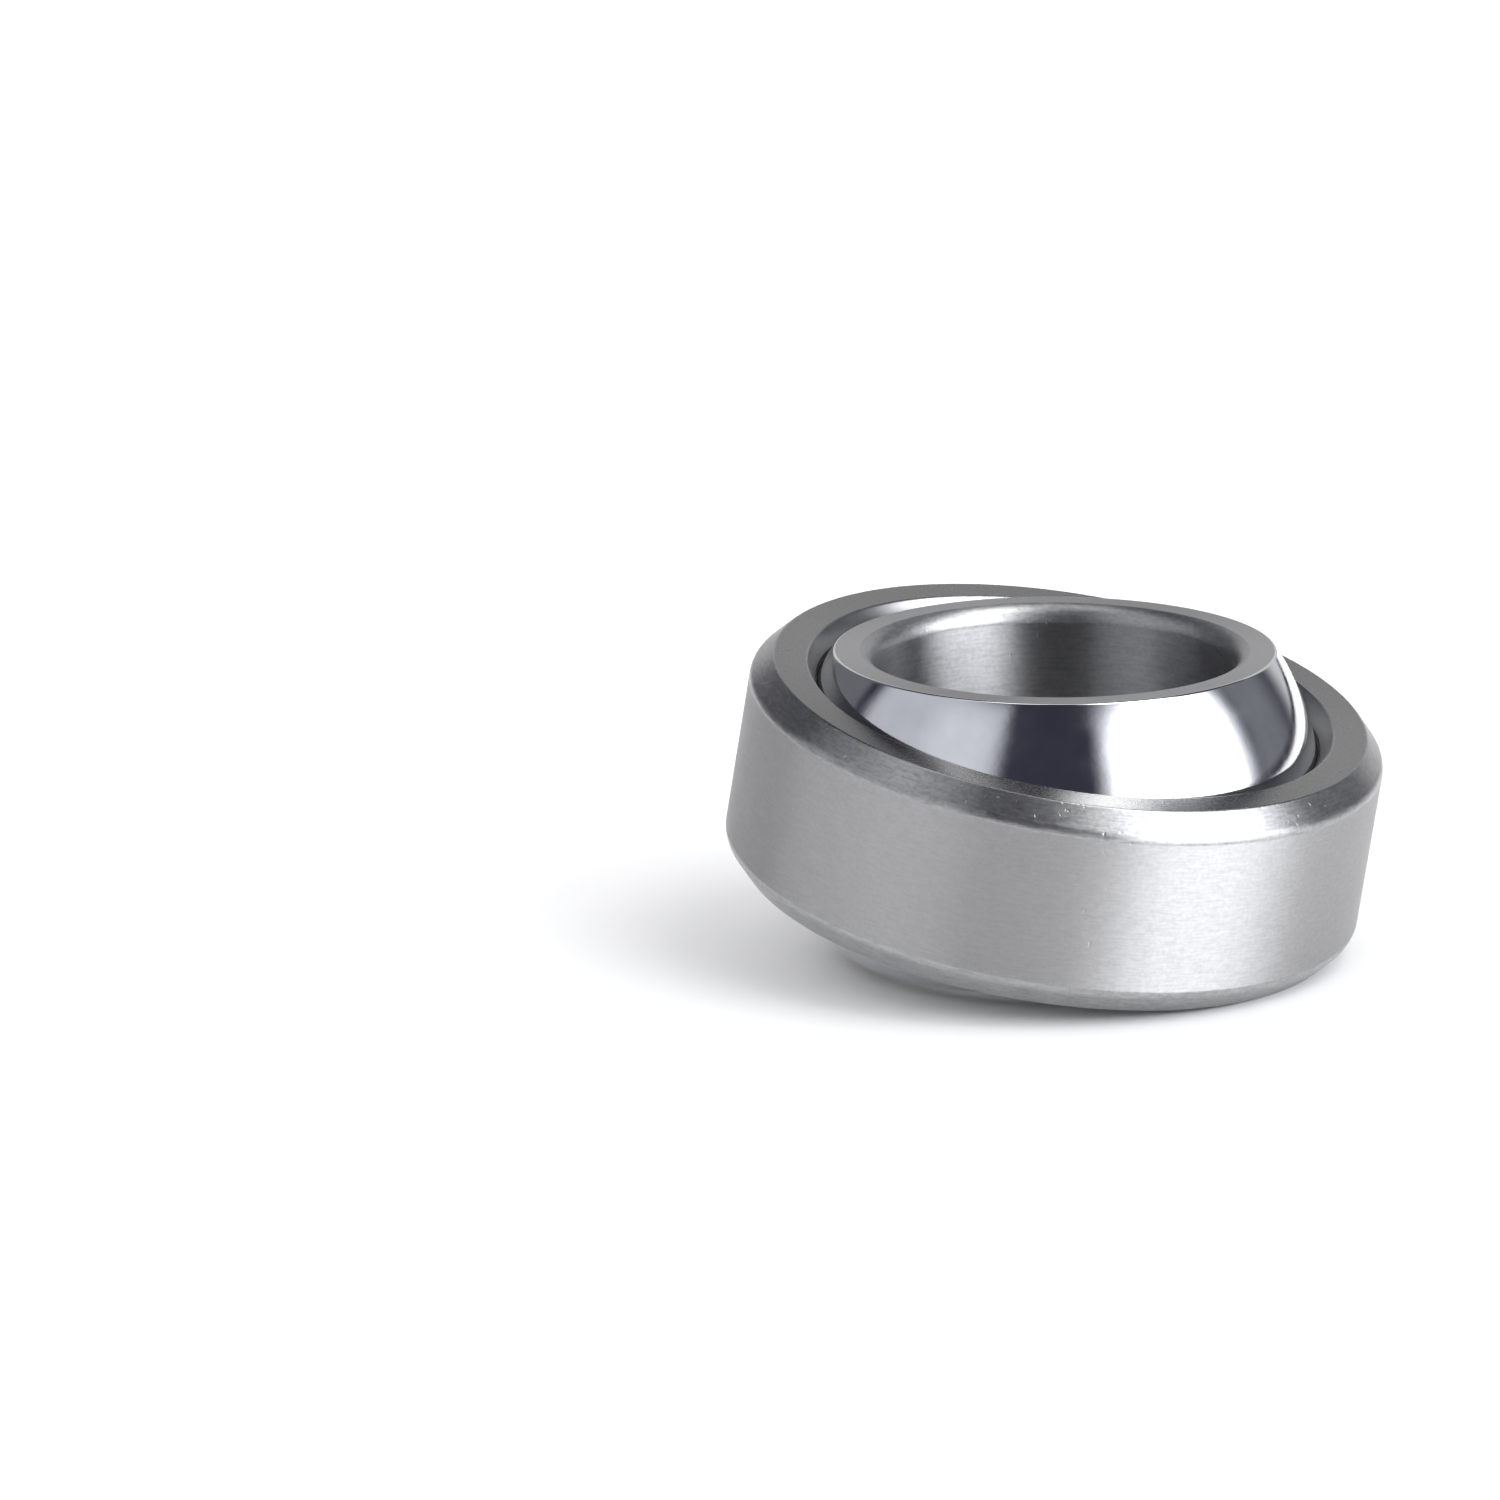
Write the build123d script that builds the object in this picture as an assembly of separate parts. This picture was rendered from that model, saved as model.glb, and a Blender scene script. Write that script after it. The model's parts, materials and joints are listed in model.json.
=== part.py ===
from build123d import *

import os
from math import cos, radians, sin, sqrt

# Radial spherical plain bearing, 17 x 30 x 14 x 10 mm, in millimetres.
# The origin is the centre of the sphere and +Z is the axis of the inner ring's bore.
# The outer ring and its liner lean towards +X, as the bearing lies with its rings tilted apart.

# Boundary dimensions
BORE_DIA = 17.0
OUTER_DIA = 30.0
INNER_WIDTH = 14.0
OUTER_WIDTH = 10.0
SPHERE_DIA = 25.0
REST_TILT = 10.7  # degrees between the rings' axes, about +Y

# Sliding layer between the sphere and the outer ring's seat
RUNNING_GAP = 0.02
LINER_THICKNESS = 0.12

# Rim chamfers and bore lead-ins: each is its radial leg and its axial leg
OUTER_CHAMFER = (0.95, 1.07)
LEAD_IN = (0.63, 0.85)

# The mouth chamfer is a cone, cut through the steel and the liner's edge down to the sphere
MOUTH_DIA = 24.92  # on the outer ring's side face
MOUTH_ANGLE = 32.5  # degrees from the outer ring's axis

# Edge rounding
CORNER_BREAK = 0.15
RIM_RADIUS = 0.70  # where the outside runs into the rim chamfers
LEAD_IN_RADIUS = 0.90  # each lead-in is one arc, cut off by the ground face and bore

SPHERE_RADIUS = SPHERE_DIA / 2
LINER_INNER_RADIUS = SPHERE_RADIUS + RUNNING_GAP
LINER_OUTER_RADIUS = LINER_INNER_RADIUS + LINER_THICKNESS
SEAT_RADIUS = LINER_OUTER_RADIUS + RUNNING_GAP
COINCIDENT = 1e-6


def mouth_chamfer_at(sphere_radius):
    """Radius and height where the mouth chamfer's cone meets a sphere about the origin."""
    start_r, start_z = MOUTH_DIA / 2, OUTER_WIDTH / 2
    step_r, step_z = sin(radians(MOUTH_ANGLE)), cos(radians(MOUTH_ANGLE))
    nearest = start_r * step_r + start_z * step_z
    run = nearest - sqrt(nearest**2 - start_r**2 - start_z**2 + sphere_radius**2)
    return start_r - run * step_r, start_z - run * step_z


def spherical_wall(sphere_radius, end_r, end_z):
    """Arc of a sphere's outline, from an upper end down to its mirror image."""
    return ThreePointArc((end_r, end_z), (sphere_radius, 0), (end_r, -end_z))


def broken_corners(section, radius, height, rounding):
    """Round a section's corners at one radius, above and below the mid-plane."""
    corners = [
        corner
        for corner in section.vertices()
        if abs(corner.X - radius) < COINCIDENT and abs(abs(corner.Y) - height) < COINCIDENT
    ]
    return fillet(corners, rounding)


def turned(section):
    """Revolve a half-section, drawn as radius and height, into a full ring about +Z."""
    return revolve(Plane.XZ * section, Axis.Z)


def inner_ring():
    """Ball ring: a zone of the sphere with a cylindrical bore and an arched lead-in at each end."""
    bore_r, half_width = BORE_DIA / 2, INNER_WIDTH / 2
    face_r = sqrt(SPHERE_RADIUS**2 - half_width**2)
    lead_in_r, wall_end = bore_r + LEAD_IN[0], half_width - LEAD_IN[1]
    outline = Curve() + [
        spherical_wall(SPHERE_RADIUS, face_r, half_width),
        Line((face_r, -half_width), (lead_in_r, -half_width)),
        RadiusArc((lead_in_r, -half_width), (bore_r, -wall_end), LEAD_IN_RADIUS),
        Line((bore_r, -wall_end), (bore_r, wall_end)),
        RadiusArc((bore_r, wall_end), (lead_in_r, half_width), LEAD_IN_RADIUS),
        Line((lead_in_r, half_width), (face_r, half_width)),
    ]
    section = broken_corners(make_face(outline), face_r, half_width, CORNER_BREAK)
    return turned(section)


def outer_ring():
    """Housing ring: a plain cylinder with chamfered rims and mouths and a spherical seat."""
    outer_r, half_width = OUTER_DIA / 2, OUTER_WIDTH / 2
    face_r, wall_end = outer_r - OUTER_CHAMFER[0], half_width - OUTER_CHAMFER[1]
    mouth_r = MOUTH_DIA / 2
    seat_r, seat_z = mouth_chamfer_at(SEAT_RADIUS)
    seat = spherical_wall(SEAT_RADIUS, seat_r, seat_z)
    body = Polyline(
        (seat_r, -seat_z),
        (mouth_r, -half_width),
        (face_r, -half_width),
        (outer_r, -wall_end),
        (outer_r, wall_end),
        (face_r, half_width),
        (mouth_r, half_width),
        (seat_r, seat_z),
    )
    section = make_face(Curve() + [seat, body])
    section = broken_corners(section, mouth_r, half_width, CORNER_BREAK)
    section = broken_corners(section, face_r, half_width, CORNER_BREAK)
    section = broken_corners(section, outer_r, wall_end, RIM_RADIUS)
    return turned(section)


def sliding_liner():
    """Thin spherical shell between the seat and the ball ring, flush with the mouth chamfers."""
    inner_r, inner_z = mouth_chamfer_at(LINER_INNER_RADIUS)
    outer_r, outer_z = mouth_chamfer_at(LINER_OUTER_RADIUS)
    sliding_face = spherical_wall(LINER_INNER_RADIUS, inner_r, inner_z)
    bonded_face = spherical_wall(LINER_OUTER_RADIUS, outer_r, outer_z)
    upper_edge = Line((inner_r, inner_z), (outer_r, outer_z))
    lower_edge = Line((inner_r, -inner_z), (outer_r, -outer_z))
    return turned(make_face(Curve() + [sliding_face, lower_edge, bonded_face, upper_edge]))


lean = Rot(Y=REST_TILT)
os.makedirs("parts", exist_ok=True)
export_step(lean * outer_ring(), "parts/outer_ring.step")
export_step(lean * sliding_liner(), "parts/sliding_liner.step")
export_step(inner_ring(), "parts/inner_ring.step")
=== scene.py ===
import json
from math import acos, asin, atan2, cos, degrees, hypot, radians, sin, sqrt, tan

import bpy
import numpy as np
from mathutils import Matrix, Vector


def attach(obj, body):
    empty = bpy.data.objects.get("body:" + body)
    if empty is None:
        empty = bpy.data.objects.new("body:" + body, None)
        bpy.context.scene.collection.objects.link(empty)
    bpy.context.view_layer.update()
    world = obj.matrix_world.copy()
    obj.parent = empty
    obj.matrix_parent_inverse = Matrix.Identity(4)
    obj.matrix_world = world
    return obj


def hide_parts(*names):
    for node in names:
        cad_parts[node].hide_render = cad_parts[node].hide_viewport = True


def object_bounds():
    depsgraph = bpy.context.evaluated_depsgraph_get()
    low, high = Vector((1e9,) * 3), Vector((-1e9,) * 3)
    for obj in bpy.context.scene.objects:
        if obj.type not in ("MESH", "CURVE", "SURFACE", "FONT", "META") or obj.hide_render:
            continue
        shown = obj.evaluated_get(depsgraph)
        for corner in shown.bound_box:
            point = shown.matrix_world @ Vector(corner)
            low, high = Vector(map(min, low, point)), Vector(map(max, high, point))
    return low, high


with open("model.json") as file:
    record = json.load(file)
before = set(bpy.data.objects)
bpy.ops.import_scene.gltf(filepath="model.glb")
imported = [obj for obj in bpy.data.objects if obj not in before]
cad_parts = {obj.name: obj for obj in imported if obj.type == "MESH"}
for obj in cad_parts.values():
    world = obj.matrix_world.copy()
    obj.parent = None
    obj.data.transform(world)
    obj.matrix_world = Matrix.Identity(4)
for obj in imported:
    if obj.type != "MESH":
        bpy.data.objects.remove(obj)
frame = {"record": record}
cad_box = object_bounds()

# Radial spherical plain bearing. The frame's unit is the metre, and sizes here are in millimetres.
# Sizes that the record's mounts hold are read from them. The rest repeat the CAD's driving dimensions.
MM = 0.001
UP = Vector((0, 0, 1))
SPHERE_RADIUS = 12.5
RUNNING_GAP = 0.02
LINER_THICKNESS = 0.12
OUTER_CHAMFER = (0.95, 1.07)  # radial leg, axial leg
LEAD_IN = (0.63, 0.85)  # radial leg, axial leg
MOUTH_RADIUS = 12.46  # on the outer ring's side face
MOUTH_ANGLE = 32.5  # degrees from the outer ring's axis
CORNER_BREAK = 0.15
RIM_RADIUS = 0.70  # where the outside runs into the rim chamfers
LEAD_IN_RADIUS = 0.90  # each lead-in is one arc

TURN_STEPS = 384  # facets round each ring
SPHERE_STEPS = 72  # facets along each spherical outline
CORNER_STEPS = 8  # facets round each small edge

VIEW_AZIMUTH = 36.8
VIEW_ELEVATION = 14.4
VIEW_DISTANCE = 0.781  # metres
VIEW_LENS = 400
VIEW_OFFSET = (14.25, -2.08)  # how far right of and above the middle the sphere's centre stands


# ---------------------------------------------------------------- sizes from the frame

mounts = {mount["name"]: mount for mount in frame["record"]["mounts"]}


def along_axis(mount):
    """Distance of a face mount from the sphere's centre, in millimetres."""
    return Vector(mount["pos_m"]).dot(Vector(mount["axis"])) / MM


BORE_RADIUS = mounts["bore"]["dims"]["r_mm"]
OUTER_RADIUS = mounts["outer_seat"]["dims"]["r_mm"]
INNER_HALF_WIDTH = along_axis(mounts["inner_face_top"])
OUTER_HALF_WIDTH = along_axis(mounts["outer_face_top"])
OUTER_AXIS = Vector(mounts["outer_seat"]["axis"]).normalized()


# ---------------------------------------------------------------- half-sections

# A half-section is a closed list of runs. A run is a surface's name and its samples, and a sample is
# (radius, height, normal's radius part, normal's height part). Runs go up the outside and down the bore.


def arc(centre, radius, start, end, steps):
    """Samples of an arc from one angle to another, in degrees. A falling angle makes a hollow wall."""
    facing = 1 if end > start else -1
    samples = []
    for angle in np.radians(np.linspace(start, end, steps + 1)):
        c, s = cos(angle), sin(angle)
        samples.append((centre[0] + radius * c, centre[1] + radius * s, facing * c, facing * s))
    return samples


def straight(start, end):
    """Samples of a straight wall, which faces the right-hand side of its travel."""
    run_r, run_z = end[0] - start[0], end[1] - start[1]
    length = hypot(run_r, run_z)
    normal = (run_z / length, -run_r / length)
    return [(*start, *normal), (*end, *normal)]


def corner(before, point, after, radius):
    """Samples of a rounded corner between two straight walls that meet at a point."""
    into = Vector((point[0] - before[0], point[1] - before[1])).normalized()
    out = Vector((after[0] - point[0], after[1] - point[1])).normalized()
    turn = acos(into.dot(out))
    hand = 1 if into.x * out.y - into.y * out.x > 0 else -1
    start = Vector(point) - into * radius * tan(turn / 2)
    centre = start + Vector((-into.y, into.x)) * radius * hand
    start_angle = degrees(atan2(start.y - centre.y, start.x - centre.x))
    return arc(centre, radius, start_angle, start_angle + hand * degrees(turn), CORNER_STEPS)


def bulge(start, end, radius):
    """Samples of an arc that bulges out of the metal between two points."""
    first, last = Vector(start), Vector(end)
    half_chord = (last - first) / 2
    inward = Vector((-half_chord.y, half_chord.x)).normalized()
    centre = first + half_chord + inward * sqrt(radius**2 - half_chord.length_squared)
    start_angle = degrees(atan2(first.y - centre.y, first.x - centre.x))
    sweep = degrees(2 * asin(half_chord.length / radius))
    return arc(centre, radius, start_angle, start_angle + sweep, CORNER_STEPS)


def flipped(samples):
    """The same samples below the mid-plane, in the order that continues the outline."""
    return [(r, -z, nr, -nz) for r, z, nr, nz in reversed(samples)]


def mouth_chamfer_at(sphere_radius):
    """Radius and height where the mouth chamfer's cone meets a sphere about the origin."""
    step_r, step_z = sin(radians(MOUTH_ANGLE)), cos(radians(MOUTH_ANGLE))
    nearest = MOUTH_RADIUS * step_r + OUTER_HALF_WIDTH * step_z
    start_squared = MOUTH_RADIUS**2 + OUTER_HALF_WIDTH**2
    run = nearest - sqrt(nearest**2 - start_squared + sphere_radius**2)
    return MOUTH_RADIUS - run * step_r, OUTER_HALF_WIDTH - run * step_z


def sphere_between(radius, top, surface, facing):
    """A spherical wall from below to above the mid-plane, or from above to below if it is hollow."""
    reach = degrees(atan2(top[1], top[0])) * facing
    return (surface, arc((0, 0), radius, -reach, reach, SPHERE_STEPS))


def inner_ring_section():
    """Ball ring: polished zone, rounded rim, turned face, arched lead-in and bore."""
    rim_centre_z = INNER_HALF_WIDTH - CORNER_BREAK
    rim_centre_r = sqrt((SPHERE_RADIUS - CORNER_BREAK) ** 2 - rim_centre_z**2)
    rim_start = degrees(atan2(rim_centre_z, rim_centre_r))
    rim = arc((rim_centre_r, rim_centre_z), CORNER_BREAK, rim_start, 90, CORNER_STEPS)
    lead_in_top = (BORE_RADIUS + LEAD_IN[0], INNER_HALF_WIDTH)
    wall_top = (BORE_RADIUS, INNER_HALF_WIDTH - LEAD_IN[1])
    upper = [
        ("ball", rim),
        ("inner_face", straight((rim_centre_r, INNER_HALF_WIDTH), lead_in_top)),
        ("lead_in", bulge(lead_in_top, wall_top, LEAD_IN_RADIUS)),
    ]
    lower = [(name, flipped(samples)) for name, samples in reversed(upper)]
    ball = sphere_between(SPHERE_RADIUS, rim[0], "ball", 1)
    bore = straight(wall_top, (BORE_RADIUS, -wall_top[1]))
    return [ball, *upper, ("bore", bore), *lower]


def outer_ring_section():
    """Housing ring: ground outside, rim chamfers, side faces, mouth chamfers and seat."""
    face_r, wall_end = OUTER_RADIUS - OUTER_CHAMFER[0], OUTER_HALF_WIDTH - OUTER_CHAMFER[1]
    seat_end = mouth_chamfer_at(SPHERE_RADIUS + LINER_THICKNESS + 2 * RUNNING_GAP)
    rim_low, rim_high = (OUTER_RADIUS, wall_end), (face_r, OUTER_HALF_WIDTH)
    mouth = (MOUTH_RADIUS, OUTER_HALF_WIDTH)
    low_round = corner((OUTER_RADIUS, 0), rim_low, rim_high, RIM_RADIUS)
    high_round = corner(rim_low, rim_high, mouth, CORNER_BREAK)
    mouth_round = corner(rim_high, mouth, seat_end, CORNER_BREAK)
    upper = [
        ("rim_chamfer", low_round + high_round),
        ("outer_face", straight(high_round[-1][:2], mouth_round[0][:2])),
        ("mouth_chamfer", mouth_round + [(*seat_end, *mouth_round[-1][2:])]),
    ]
    lower = [(name, flipped(samples)) for name, samples in reversed(upper)]
    outside = straight((OUTER_RADIUS, -low_round[0][1]), low_round[0][:2])
    seat_radius = hypot(*seat_end)
    seat = sphere_between(seat_radius, seat_end, "seat", -1)
    return [("outside", outside), *upper, seat, *lower]


def liner_section():
    """Thin spherical shell whose edges lie in the mouth chamfers' cones."""
    sliding_end = mouth_chamfer_at(SPHERE_RADIUS + RUNNING_GAP)
    bonded_end = mouth_chamfer_at(SPHERE_RADIUS + RUNNING_GAP + LINER_THICKNESS)
    edge = straight(bonded_end, sliding_end)
    bonded = sphere_between(hypot(*bonded_end), bonded_end, "liner", 1)
    sliding = sphere_between(hypot(*sliding_end), sliding_end, "liner", -1)
    return [bonded, ("liner_edge", edge), sliding, ("liner_edge", flipped(edge))]


# ---------------------------------------------------------------- turned meshes


def turned(name, section, axis, materials):
    """Revolve a half-section into a closed mesh with exact normals, and stand it on an axis."""
    places, rings, facets = {}, [], []
    for surface, samples in section:
        for before, after in zip(samples, samples[1:]):
            ends = []
            for sample in (before, after):  # samples at one place share a ring of points
                key = (round(sample[0], 5), round(sample[1], 5))
                if key not in places:
                    places[key] = len(rings)
                    rings.append(sample[:2])
                ends.append((places[key], sample[2:]))
            if ends[0][0] != ends[1][0]:
                facets.append((ends[0], ends[1], surface))
    angles = np.linspace(0, 2 * np.pi, TURN_STEPS, endpoint=False)
    cosines, sines = np.cos(angles), np.sin(angles)
    stand = np.array(UP.rotation_difference(axis).to_matrix())
    circles = [(r * cosines, r * sines, np.full(TURN_STEPS, z)) for r, z in rings]
    points = np.array(circles).transpose(0, 2, 1).reshape(-1, 3) @ stand.T
    surfaces = list(materials)
    faces, normals, slots = [], [], []
    for (low, low_normal), (high, high_normal), surface in facets:
        for step in range(TURN_STEPS):
            after = (step + 1) % TURN_STEPS
            loop = [(low, step), (low, after), (high, after), (high, step)]
            faces.append([ring * TURN_STEPS + place for ring, place in loop])
            for (ring, place), (nr, nz) in zip(loop, [low_normal] * 2 + [high_normal] * 2):
                normals.append((nr * cosines[place], nr * sines[place], nz))
        slots += [surfaces.index(surface)] * TURN_STEPS
    mesh = bpy.data.meshes.new(name)
    mesh.from_pydata((points * MM).tolist(), [], faces)
    mesh.polygons.foreach_set("material_index", slots)
    mesh.polygons.foreach_set("use_smooth", [True] * len(faces))
    mesh.normals_split_custom_set((np.array(normals) @ stand.T).tolist())
    for material in materials.values():
        mesh.materials.append(material)
    piece = bpy.data.objects.new(name, mesh)
    bpy.context.collection.objects.link(piece)
    return piece


# ---------------------------------------------------------------- materials

ACROSS_TANGENT = 0.25  # quarter turn, from along the marks to across them
MARK_SHARE = 0.6  # of the tool marks in the steel's tone, and the grain has the rest
TONE_RANGE = (0.38, 0.6)  # tones that are painted the darkest and the full colour
PIT_RANGE = (0.70, 0.78)  # noise at the edge and at the bottom of a pit
PIT_DEPTH = 2.0  # as a multiple of the depth of the tool marks
GLOSS_SPREAD = 0.12  # share by which the tone changes the roughness


class Surface:
    """A node material whose parts are added one call at a time."""

    def __init__(self, name, colour, roughness, metallic=1.0, axis=UP):
        self.material = bpy.data.materials.new(name)
        self.material.use_nodes = True
        self.tree = self.material.node_tree
        self.shader = self.tree.nodes["Principled BSDF"]
        self.shader.inputs["Base Color"].default_value = (*colour, 1)
        self.shader.inputs["Roughness"].default_value = roughness
        self.shader.inputs["Metallic"].default_value = metallic
        self.axis = axis
        upright = {
            "Vector": self.node("ShaderNodeTexCoord").outputs["Object"],
            "Rotation": UP.rotation_difference(axis).to_euler(),
        }
        self.place = self.node(
            "ShaderNodeVectorRotate", upright, rotation_type="EULER_XYZ", invert=True
        ).outputs[0]

    def node(self, kind, inputs=(), **settings):
        """A new node with its settings, its inputs linked from sockets or set to numbers."""
        node = self.tree.nodes.new(kind)
        for key, value in settings.items():
            setattr(node, key, value)
        for key, value in dict(inputs).items():
            if isinstance(value, bpy.types.NodeSocket):
                self.tree.links.new(value, node.inputs[key])
            else:
                node.inputs[key].default_value = value
        return node

    def math(self, operation, *values):
        """Result of a maths node on sockets or numbers."""
        return self.node("ShaderNodeMath", dict(enumerate(values)), operation=operation).outputs[0]

    def noise(self, size, detail):
        """Even noise with features of about this size in millimetres, centred on 0.5."""
        inputs = {"Vector": self.place, "Scale": 1 / (size * MM), "Detail": detail}
        return self.node("ShaderNodeTexNoise", inputs).outputs["Fac"]

    def tool_marks(self, pitch, length):
        """Fine marks that run round the axis: pitch in millimetres, length as a share of a radian."""
        split = self.node("ShaderNodeSeparateXYZ", {0: self.place})
        x, y, z = (split.outputs[axis] for axis in "XYZ")
        squares = self.math("ADD", self.math("MULTIPLY", x, x), self.math("MULTIPLY", y, y))
        radius = self.math("SQRT", squares)
        across = 1 / (pitch * MM)
        inputs = {
            "X": self.math("MULTIPLY", radius, across),
            "Y": self.math("MULTIPLY", z, across),
            "Z": self.math("MULTIPLY", self.math("DIVIDE", x, radius), 1 / length),
        }
        marks = self.node("ShaderNodeCombineXYZ", inputs).outputs[0]
        around = self.math("MULTIPLY", self.math("DIVIDE", y, radius), 1 / length)
        inputs = {"Vector": marks, "W": around, "Scale": 1.0, "Detail": 3.0, "Roughness": 0.6}
        return self.node("ShaderNodeTexNoise", inputs, noise_dimensions="4D").outputs["Fac"]

    def ranged(self, value, low, high, from_low=0.3, from_high=0.7):
        """A value moved from one range to another and held within it."""
        inputs = {
            "Value": value,
            "From Min": from_low,
            "From Max": from_high,
            "To Min": low,
            "To Max": high,
        }
        return self.node("ShaderNodeMapRange", inputs).outputs["Result"]

    def mixed(self, share, first, second):
        """A colour between two colours or sockets."""
        node = self.node("ShaderNodeMix", {"Factor": share}, data_type="RGBA")
        for key, colour in (("A", first), ("B", second)):
            socket = next(s for s in node.inputs if s.name == key and s.type == "RGBA")
            if isinstance(colour, bpy.types.NodeSocket):
                self.tree.links.new(colour, socket)
            else:
                socket.default_value = (*colour, 1)
        return next(s for s in node.outputs if s.type == "RGBA")

    def paint(self, colour):
        """Colour the surface from a socket."""
        self.tree.links.new(colour, self.shader.inputs["Base Color"])

    def gloss(self, roughness):
        """Vary the surface's roughness by a socket."""
        self.tree.links.new(roughness, self.shader.inputs["Roughness"])

    def relief(self, height, depth):
        """Bump of a depth in millimetres for a height that runs from 0 to 1."""
        inputs = {"Height": height, "Distance": depth * MM}
        normal = self.node("ShaderNodeBump", inputs).outputs["Normal"]
        self.tree.links.new(normal, self.shader.inputs["Normal"])

    def ground(self, amount):
        """Stretch highlights across marks that run round the axis."""
        self.shader.inputs["Anisotropic"].default_value = amount
        self.shader.inputs["Anisotropic Rotation"].default_value = ACROSS_TANGENT
        spot = self.node("ShaderNodeTexCoord").outputs["Object"]
        around = self.node("ShaderNodeVectorMath", {0: self.axis, 1: spot}, operation="CROSS_PRODUCT")
        unit = self.node("ShaderNodeVectorMath", {0: around.outputs[0]}, operation="NORMALIZE")
        tangent = self.node(
            "ShaderNodeVectorTransform",
            {"Vector": unit.outputs[0]},
            vector_type="VECTOR",
            convert_from="OBJECT",
            convert_to="WORLD",
        )
        self.tree.links.new(tangent.outputs[0], self.shader.inputs["Tangent"])


def turned_steel(
    name, colour, roughness, anisotropy, axis, pitch=0.10, length=0.05, depth=0.003, contrast=0.14
):
    """Machined steel: tool marks round the axis, a fine grain, sparse pits and a satin gloss.

    Pitch and depth are in millimetres, and length is a share of a radian. Contrast is how much darker
    the deepest marks are than the colour.
    """
    surface = Surface(name, colour, roughness, axis=axis)
    marks = surface.tool_marks(pitch, length)
    grain = surface.noise(0.2, 4.0)
    rest = surface.math("MULTIPLY", grain, 1 - MARK_SHARE)
    tone = surface.math("MULTIPLY_ADD", marks, MARK_SHARE, rest)
    pits = surface.ranged(surface.noise(0.3, 1.0), 0, 1, *PIT_RANGE)
    dark = tuple(value * (1 - contrast) for value in colour)
    surface.paint(surface.mixed(surface.ranged(tone, 0, 1, *TONE_RANGE), dark, colour))
    surface.gloss(surface.ranged(tone, roughness * (1 - GLOSS_SPREAD), roughness * (1 + GLOSS_SPREAD)))
    surface.relief(surface.math("MULTIPLY_ADD", pits, -PIT_DEPTH, tone), depth)
    surface.ground(anisotropy)
    return surface.material


def polished_chrome():
    """Hard chrome on the sphere: a mirror with a very faint waviness and haze."""
    light, dark = (0.80, 0.805, 0.82), (0.72, 0.725, 0.745)
    sharpest, haziest = 0.05, 0.13
    surface = Surface("polished_chrome", light, sharpest)
    haze = surface.noise(1.6, 3.0)
    surface.paint(surface.mixed(surface.ranged(haze, 0, 1), dark, light))
    surface.gloss(surface.ranged(haze, sharpest, haziest))
    waviness = surface.noise(0.4, 4.0)
    surface.relief(waviness, 0.0018)
    return surface.material


def liner_composite():
    """Dark self-lubricating composite: matt, with pale flecks of fibre."""
    dark, pale = (0.018, 0.017, 0.016), (0.07, 0.065, 0.055)
    surface = Surface("liner_composite", dark, 0.6, metallic=0.0)
    flecks = surface.noise(0.12, 3.0)
    surface.paint(surface.mixed(surface.ranged(flecks, 0, 1, 0.52, 0.75), dark, pale))
    surface.gloss(surface.ranged(flecks, 0.5, 0.75))
    surface.relief(flecks, 0.02)
    return surface.material


# ---------------------------------------------------------------- stage

WHITE = (1, 1, 1)
SURROUNDINGS = (0.04, 0.041, 0.06)
FLOOR_REACH = 3.0  # metres from the middle to each side
FLOOR_PAPER = (0.5, 0.5, 0.5)
PANEL_DISTANCE = 0.5  # metres from the bearing
PANEL_GAP = 0.004  # between one panel and the next, so that panels that overlap add up
PANEL_STEPS = 32
PANEL_FOOT = 0.03  # share of a panel's height over which its lower edge fades
WASH_DISTANCE = 0.6

PANELS = [
    # name, azimuths from the camera, elevations, radiance, share faded at each side, at the top, colour
    ("key_softbox", (16, 102.5), (1, 58), 6.8, 0.38, 0.55, (0.95, 0.97, 1.02)),
    ("key_high", (24, 116), (56, 80), 7.0, 0.35, 0.2, WHITE),
    ("key_spill", (88, 140), (1, 60), 0.17, 0.4, 0.5, (0.93, 0.96, 1.0)),
    ("fill_panel", (-111, -23), (1, 56), 0.56, 0.12, 0.2, (0.95, 0.97, 1.02)),
    ("fill_core", (-78, -22), (1, 50), 0.18, 0.4, 0.3, (0.93, 0.97, 1.05)),
    ("fill_high", (-105, -48), (52, 80), 1.0, 0.25, 0.2, WHITE),
    ("left_card", (-165, -112), (1, 50), 0.12, 0.1, 0.1, WHITE),
    ("backdrop", (132, 212), (1, 36), 0.62, 0.2, 0.1, WHITE),
    ("top_panel", (100, 330), (72, 89), 1.5, 0.1, 0.1, WHITE),
]
WASH = ("floor_wash", (0, 360), (3, 58), 2.3, 0.01, 0.01, WHITE)


def towards(azimuth, elevation):
    """Unit vector from the bearing towards a point at an azimuth from -Y, turning to +X, in degrees."""
    a, e = radians(azimuth), radians(elevation)
    return Vector((sin(a) * cos(e), -cos(a) * cos(e), sin(e)))


def add_camera():
    """Camera at the bearing's viewing angle, aimed beside it so that it stands right of the middle."""
    back = towards(VIEW_AZIMUTH, VIEW_ELEVATION)
    right = towards(VIEW_AZIMUTH + 90, 0)
    up = back.cross(right)
    aim = -(right * VIEW_OFFSET[0] + up * VIEW_OFFSET[1]) * MM
    data = bpy.data.cameras.new("camera")
    data.sensor_width = 36
    data.lens = VIEW_LENS
    data.clip_start, data.clip_end = 0.01, 20
    camera = bpy.data.objects.new("camera", data)
    camera.location = aim + back * VIEW_DISTANCE
    camera.rotation_euler = back.to_track_quat("Z", "Y").to_euler()
    bpy.context.collection.objects.link(camera)
    bpy.context.scene.camera = camera


def fade(places, rise, fall):
    """Brightness across a panel, which rises and falls smoothly over these shares of its width."""
    level = np.clip(np.minimum(places / rise, (1 - places) / fall), 0, 1)
    return level * level * (3 - 2 * level)


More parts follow.
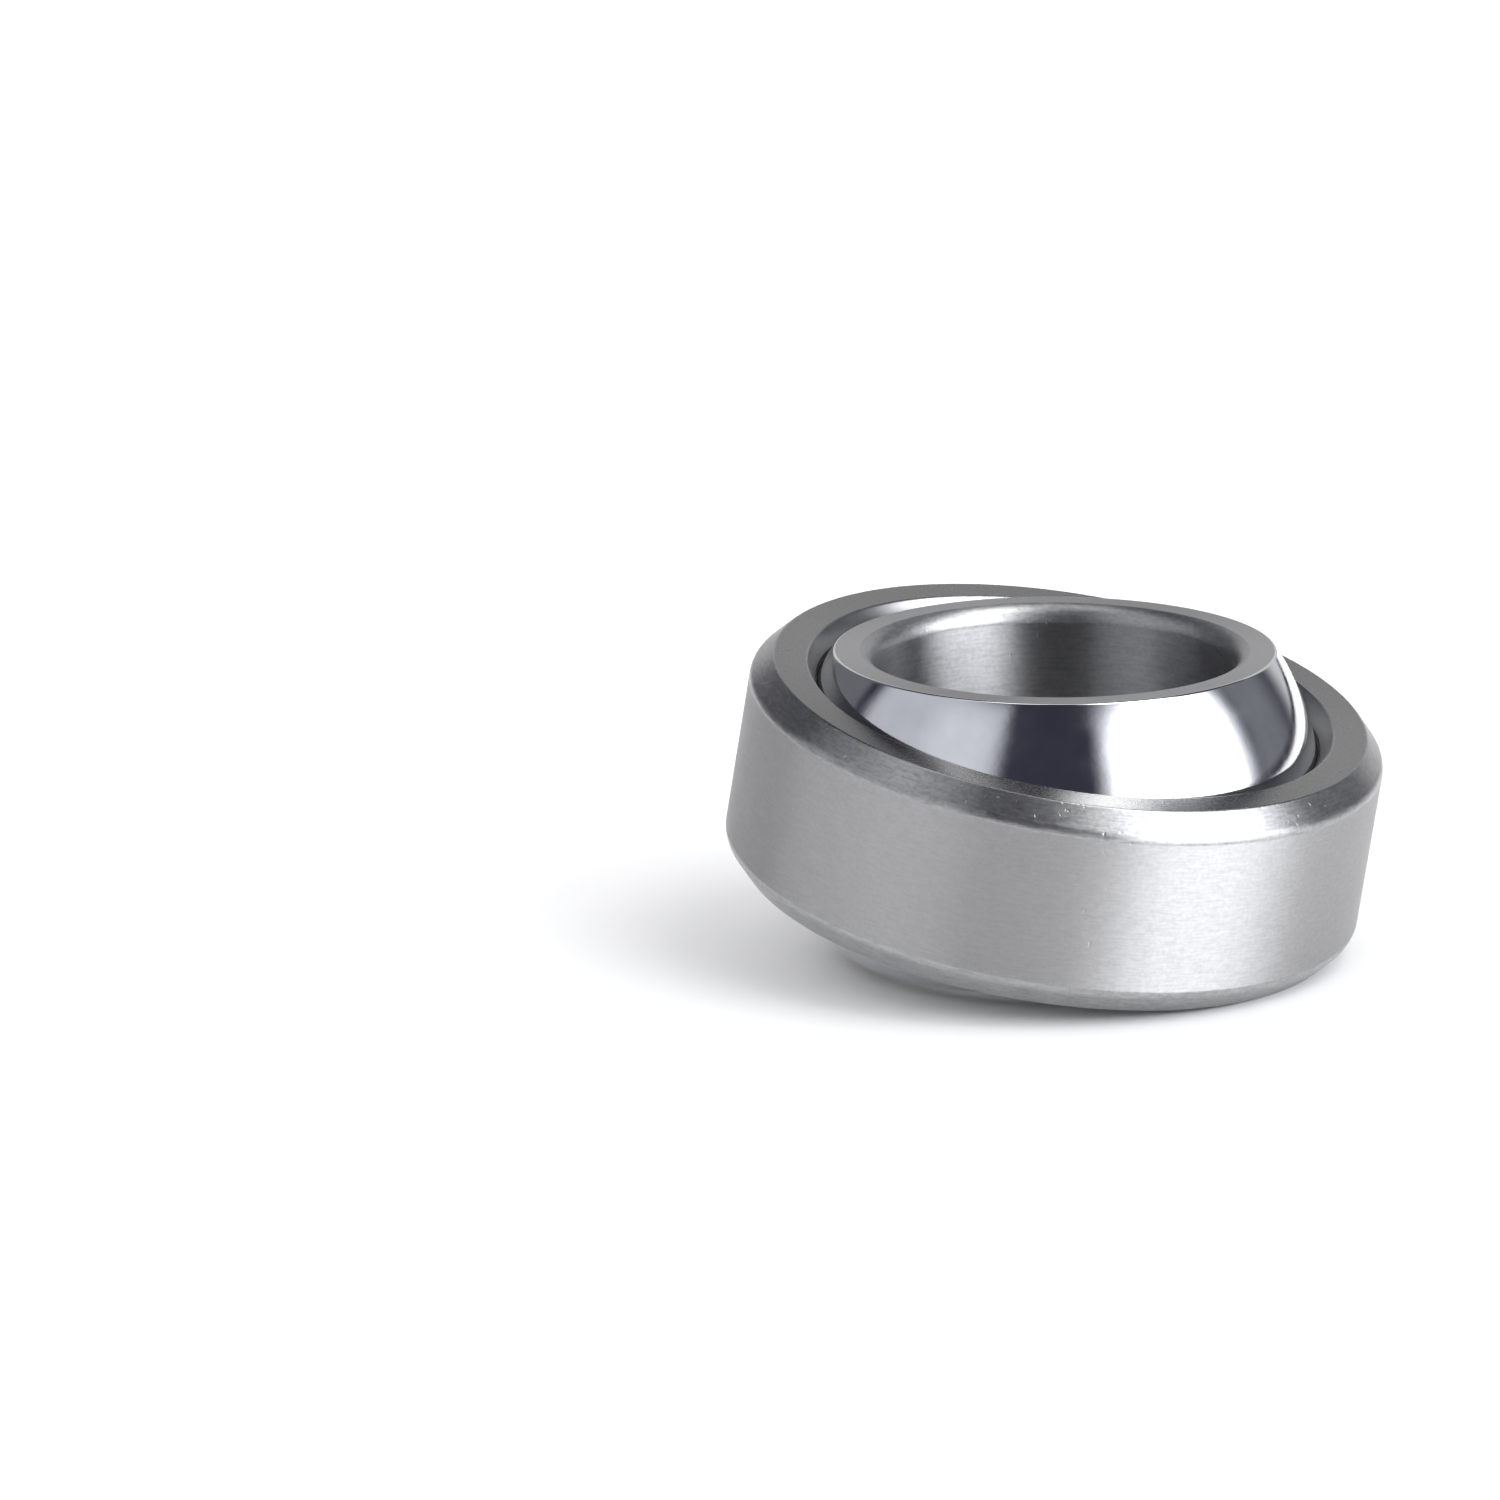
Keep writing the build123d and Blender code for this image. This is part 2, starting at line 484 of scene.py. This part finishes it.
def add_panel(distance, name, azimuths, elevations, radiance, sides, top, colour):
    """Glowing panel of a dome round the bearing, between azimuths from the camera and elevations.

    Its light fades towards its edges, and what is behind it shows through.
    """
    places = np.linspace(0, 1, PANEL_STEPS + 1)
    row = PANEL_STEPS + 1
    points = [
        towards(VIEW_AZIMUTH + azimuth, elevation) * distance
        for azimuth in np.linspace(*azimuths, row)
        for elevation in np.linspace(*elevations, row)
    ]
    corners = [i * row + j for i in range(PANEL_STEPS) for j in range(PANEL_STEPS)]
    faces = [(first, first + 1, first + row + 1, first + row) for first in corners]
    mesh = bpy.data.meshes.new(name)
    mesh.from_pydata(points, [], faces)
    glow_map = mesh.attributes.new("glow", "FLOAT", "POINT")
    shares = np.outer(fade(places, sides, sides), fade(places, PANEL_FOOT, top))
    glow_map.data.foreach_set("value", shares.ravel())
    surface = Surface(name, colour, 1.0, metallic=0.0)
    share = surface.node("ShaderNodeAttribute", attribute_name="glow").outputs["Fac"]
    strength = surface.math("MULTIPLY", share, radiance)
    glow = surface.node("ShaderNodeEmission", {"Color": (*colour, 1), "Strength": strength})
    clear = surface.node("ShaderNodeBsdfTransparent")
    both = surface.node("ShaderNodeAddShader", {0: glow.outputs[0], 1: clear.outputs[0]})
    output = surface.tree.nodes["Material Output"]
    surface.tree.links.new(both.outputs[0], output.inputs["Surface"])
    mesh.materials.append(surface.material)
    panel = bpy.data.objects.new(name, mesh)
    panel.visible_camera = False
    panel.visible_shadow = False
    bpy.context.collection.objects.link(panel)
    return panel


def add_floor():
    """Plain pale floor at the height of the bearing's lowest point."""
    height = cad_box[0][2]
    sides = [(-1, -1), (1, -1), (1, 1), (-1, 1)]
    corners = [(x * FLOOR_REACH, y * FLOOR_REACH, height) for x, y in sides]
    mesh = bpy.data.meshes.new("floor")
    mesh.from_pydata(corners, [], [(0, 1, 2, 3)])
    mesh.materials.append(Surface("floor_paper", FLOOR_PAPER, 0.9, metallic=0.0).material)
    floor = bpy.data.objects.new("floor", mesh)
    bpy.context.collection.objects.link(floor)


def add_world(colour):
    """Dim even surroundings."""
    world = bpy.data.worlds.new("studio")
    world.use_nodes = True
    world.node_tree.nodes["Background"].inputs["Color"].default_value = (*colour, 1)
    bpy.context.scene.world = world


# ---------------------------------------------------------------- the scene

# Each turned surface is its material's name, colour, roughness, anisotropy and axis, and its tool marks.
FINE_DEPTH, COARSE_DEPTH = 0.0015, 0.004
outer_materials = {
    "outside": turned_steel(
        "ground_outside", (0.515, 0.51, 0.51), 0.44, 0.95, OUTER_AXIS, contrast=0.18
    ),
    "rim_chamfer": turned_steel(
        "turned_chamfer", (0.44, 0.44, 0.44), 0.33, 0.8, OUTER_AXIS, depth=COARSE_DEPTH, contrast=0.3
    ),
    "outer_face": turned_steel(
        "ground_face", (0.305, 0.301, 0.294), 0.27, 0.6, OUTER_AXIS, depth=FINE_DEPTH
    ),
    "mouth_chamfer": turned_steel(
        "turned_mouth", (0.37, 0.37, 0.37), 0.33, 0.6, OUTER_AXIS, depth=FINE_DEPTH
    ),
    "seat": turned_steel("seat_steel", (0.38, 0.38, 0.38), 0.45, 0.5, OUTER_AXIS),
}
inner_materials = {
    "ball": polished_chrome(),
    "inner_face": turned_steel(
        "turned_inner_face", (0.435, 0.432, 0.426), 0.34, 0.6, UP, depth=FINE_DEPTH
    ),
    "lead_in": turned_steel(
        "turned_lead_in", (0.46, 0.46, 0.46), 0.40, 0.5, UP, depth=COARSE_DEPTH, contrast=0.25
    ),
    "bore": turned_steel(
        "ground_bore", (0.47, 0.47, 0.475), 0.40, 1.0, UP, pitch=0.14, length=0.12, contrast=0.22
    ),
}
composite = liner_composite()
liner_materials = {"liner": composite, "liner_edge": composite}

for node, body, slot_name, section, axis, materials in [
    ("outer_ring", "outer", "outer_steel", outer_ring_section(), OUTER_AXIS, outer_materials),
    ("sliding_liner", "liner", "liner", liner_section(), OUTER_AXIS, liner_materials),
    ("inner_ring", "inner", "chromed_ball", inner_ring_section(), UP, inner_materials),
]:
    piece = turned(f"{node}_finish", section, axis, materials)
    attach(piece, body)
    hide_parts(node)

add_camera()
add_floor()
add_world(SURROUNDINGS)
for layer, panel in enumerate(PANELS):
    add_panel(PANEL_DISTANCE + layer * PANEL_GAP, *panel)
wash = add_panel(WASH_DISTANCE, *WASH)
wash.visible_glossy = False  # it lights the floor, and the steel doesn't mirror it

bpy.context.scene.view_settings.view_transform = "Standard"
